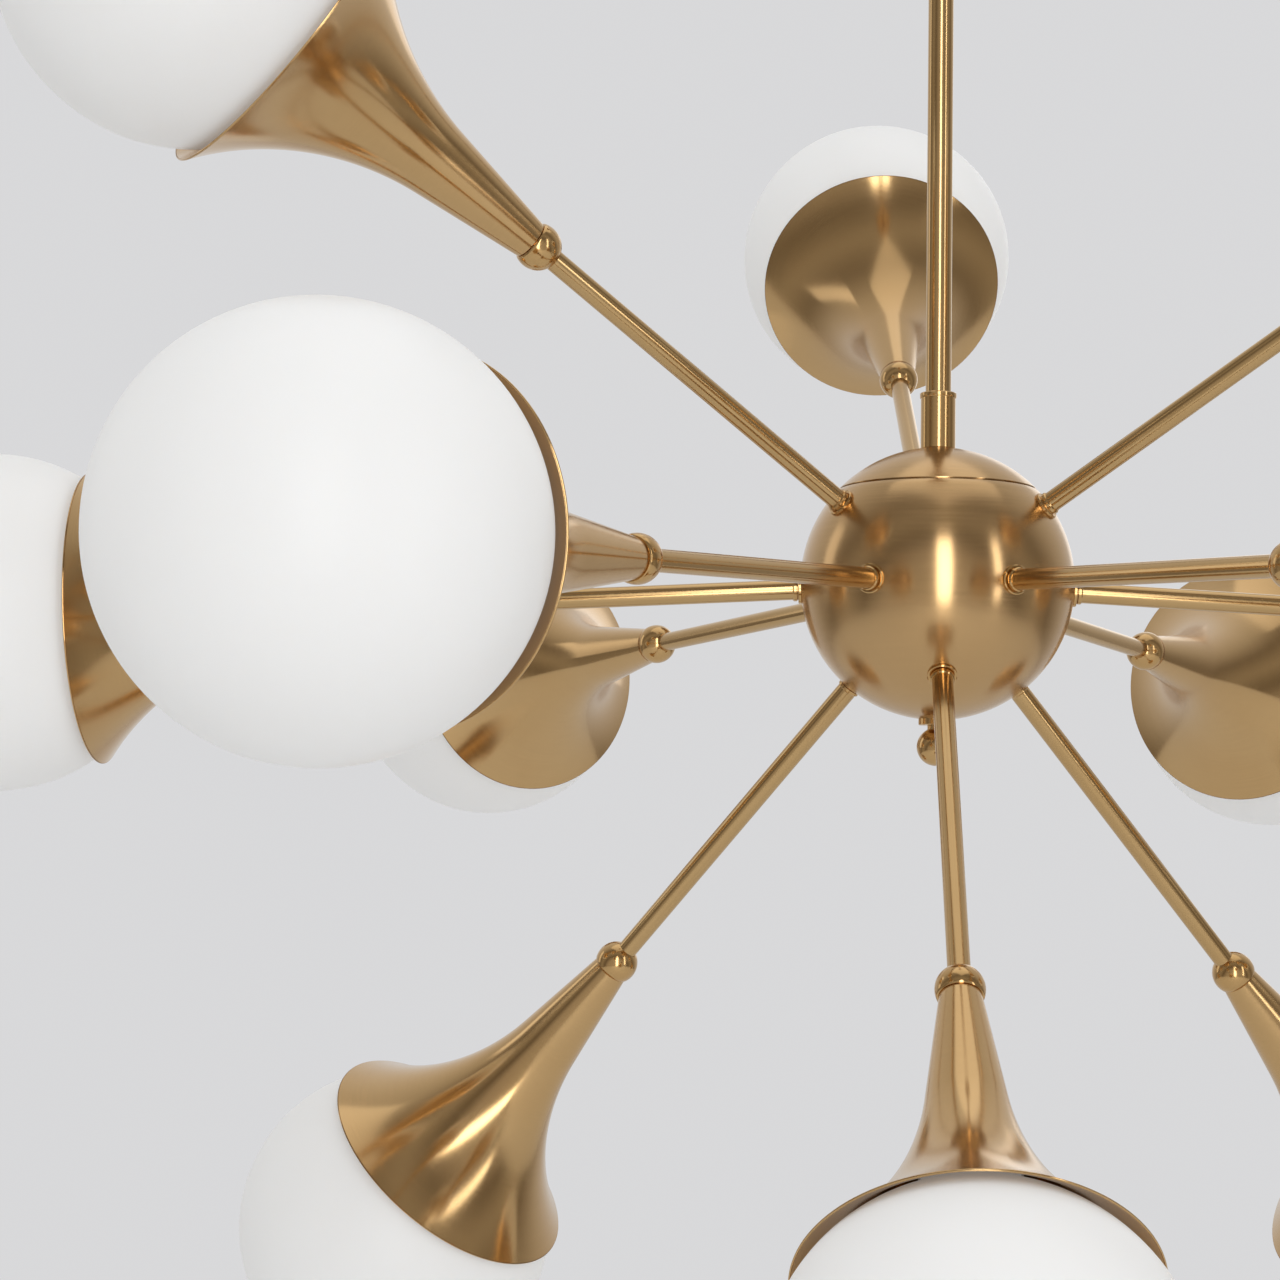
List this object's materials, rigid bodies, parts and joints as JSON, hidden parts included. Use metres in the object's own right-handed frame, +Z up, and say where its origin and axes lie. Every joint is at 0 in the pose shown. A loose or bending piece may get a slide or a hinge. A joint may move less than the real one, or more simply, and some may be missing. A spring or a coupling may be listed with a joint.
{
  "type": "multi arm chandelier",
  "caption": "Hanging chandelier with a hollow ball hub, straight arms in rings, flared trumpet bells and opal glass globes, on a rigid stem with a ceiling swivel.",
  "frame": {"origin": "on the ceiling plane, over the stem, in the middle of the ceiling plate", "axes": "+Z up to the ceiling, -Y the front, +X to the right seen from the front"},
  "size_m": [1.3138, 1.1646, 1.1924],
  "materials": {
    "brushed_brass": "satin brushed",
    "opal_glass": "matte opal",
    "zinc_steel": "zinc plated",
    "holder_ceramic": "glazed ceramic",
    "terminal_plastic": "matte",
    "bulb_glass": "frosted"
  },
  "bodies": {
    "ceiling": {"ceiling_plate": "zinc_steel", "nipple": "zinc_steel", "nipple_nuts": "brushed_brass", "canopy": "brushed_brass", "terminal_block": "terminal_plastic"},
    "swivel": {"swivel_fork": "brushed_brass", "swivel_pin": "zinc_steel"},
    "fixture": {"swivel_tongue": "brushed_brass", "stem_upper": "brushed_brass", "stem_lower": "brushed_brass", "stem_coupler": "brushed_brass", "hub_coupler": "brushed_brass", "hub_cap": "brushed_brass", "hub_shell": "brushed_brass", "hub_rod": "zinc_steel", "hub_nuts": "zinc_steel", "finial_flange": "brushed_brass", "finial": "brushed_brass", "root_collars": "brushed_brass", "root_nuts": "zinc_steel", "ball_collars": "brushed_brass", "lampholders": "holder_ceramic", "globe_fitters": "zinc_steel", "bulbs": "bulb_glass", "arm_tube_01": "brushed_brass", "arm_tube_02": "brushed_brass", "arm_tube_03": "brushed_brass", "arm_tube_04": "brushed_brass", "arm_tube_05": "brushed_brass", "arm_tube_06": "brushed_brass", "arm_tube_07": "brushed_brass", "arm_tube_08": "brushed_brass", "arm_tube_09": "brushed_brass", "arm_tube_10": "brushed_brass", "arm_tube_11": "brushed_brass", "arm_tube_12": "brushed_brass", "bell_01": "brushed_brass", "bell_02": "brushed_brass", "bell_03": "brushed_brass", "bell_04": "brushed_brass", "bell_05": "brushed_brass", "bell_06": "brushed_brass", "bell_07": "brushed_brass", "bell_08": "brushed_brass", "bell_09": "brushed_brass", "bell_10": "brushed_brass", "bell_11": "brushed_brass", "bell_12": "brushed_brass", "globe_01": "opal_glass", "globe_02": "opal_glass", "globe_03": "opal_glass", "globe_04": "opal_glass", "globe_05": "opal_glass", "globe_06": "opal_glass", "globe_07": "opal_glass", "globe_08": "opal_glass", "globe_09": "opal_glass", "globe_10": "opal_glass", "globe_11": "opal_glass", "globe_12": "opal_glass"}
  },
  "joints": [
    {"name": "swivel_turn", "type": "hinge", "parent": "ceiling", "child": "swivel", "pos_m": [0, 0, -0.0403], "axis": [0, 0, 1], "range_deg": [-170, 170]},
    {"name": "stem_tilt", "type": "hinge", "parent": "swivel", "child": "fixture", "pos_m": [0, 0, -0.0643], "axis": [0, 1, 0], "range_deg": [-30, 30]}
  ]
}
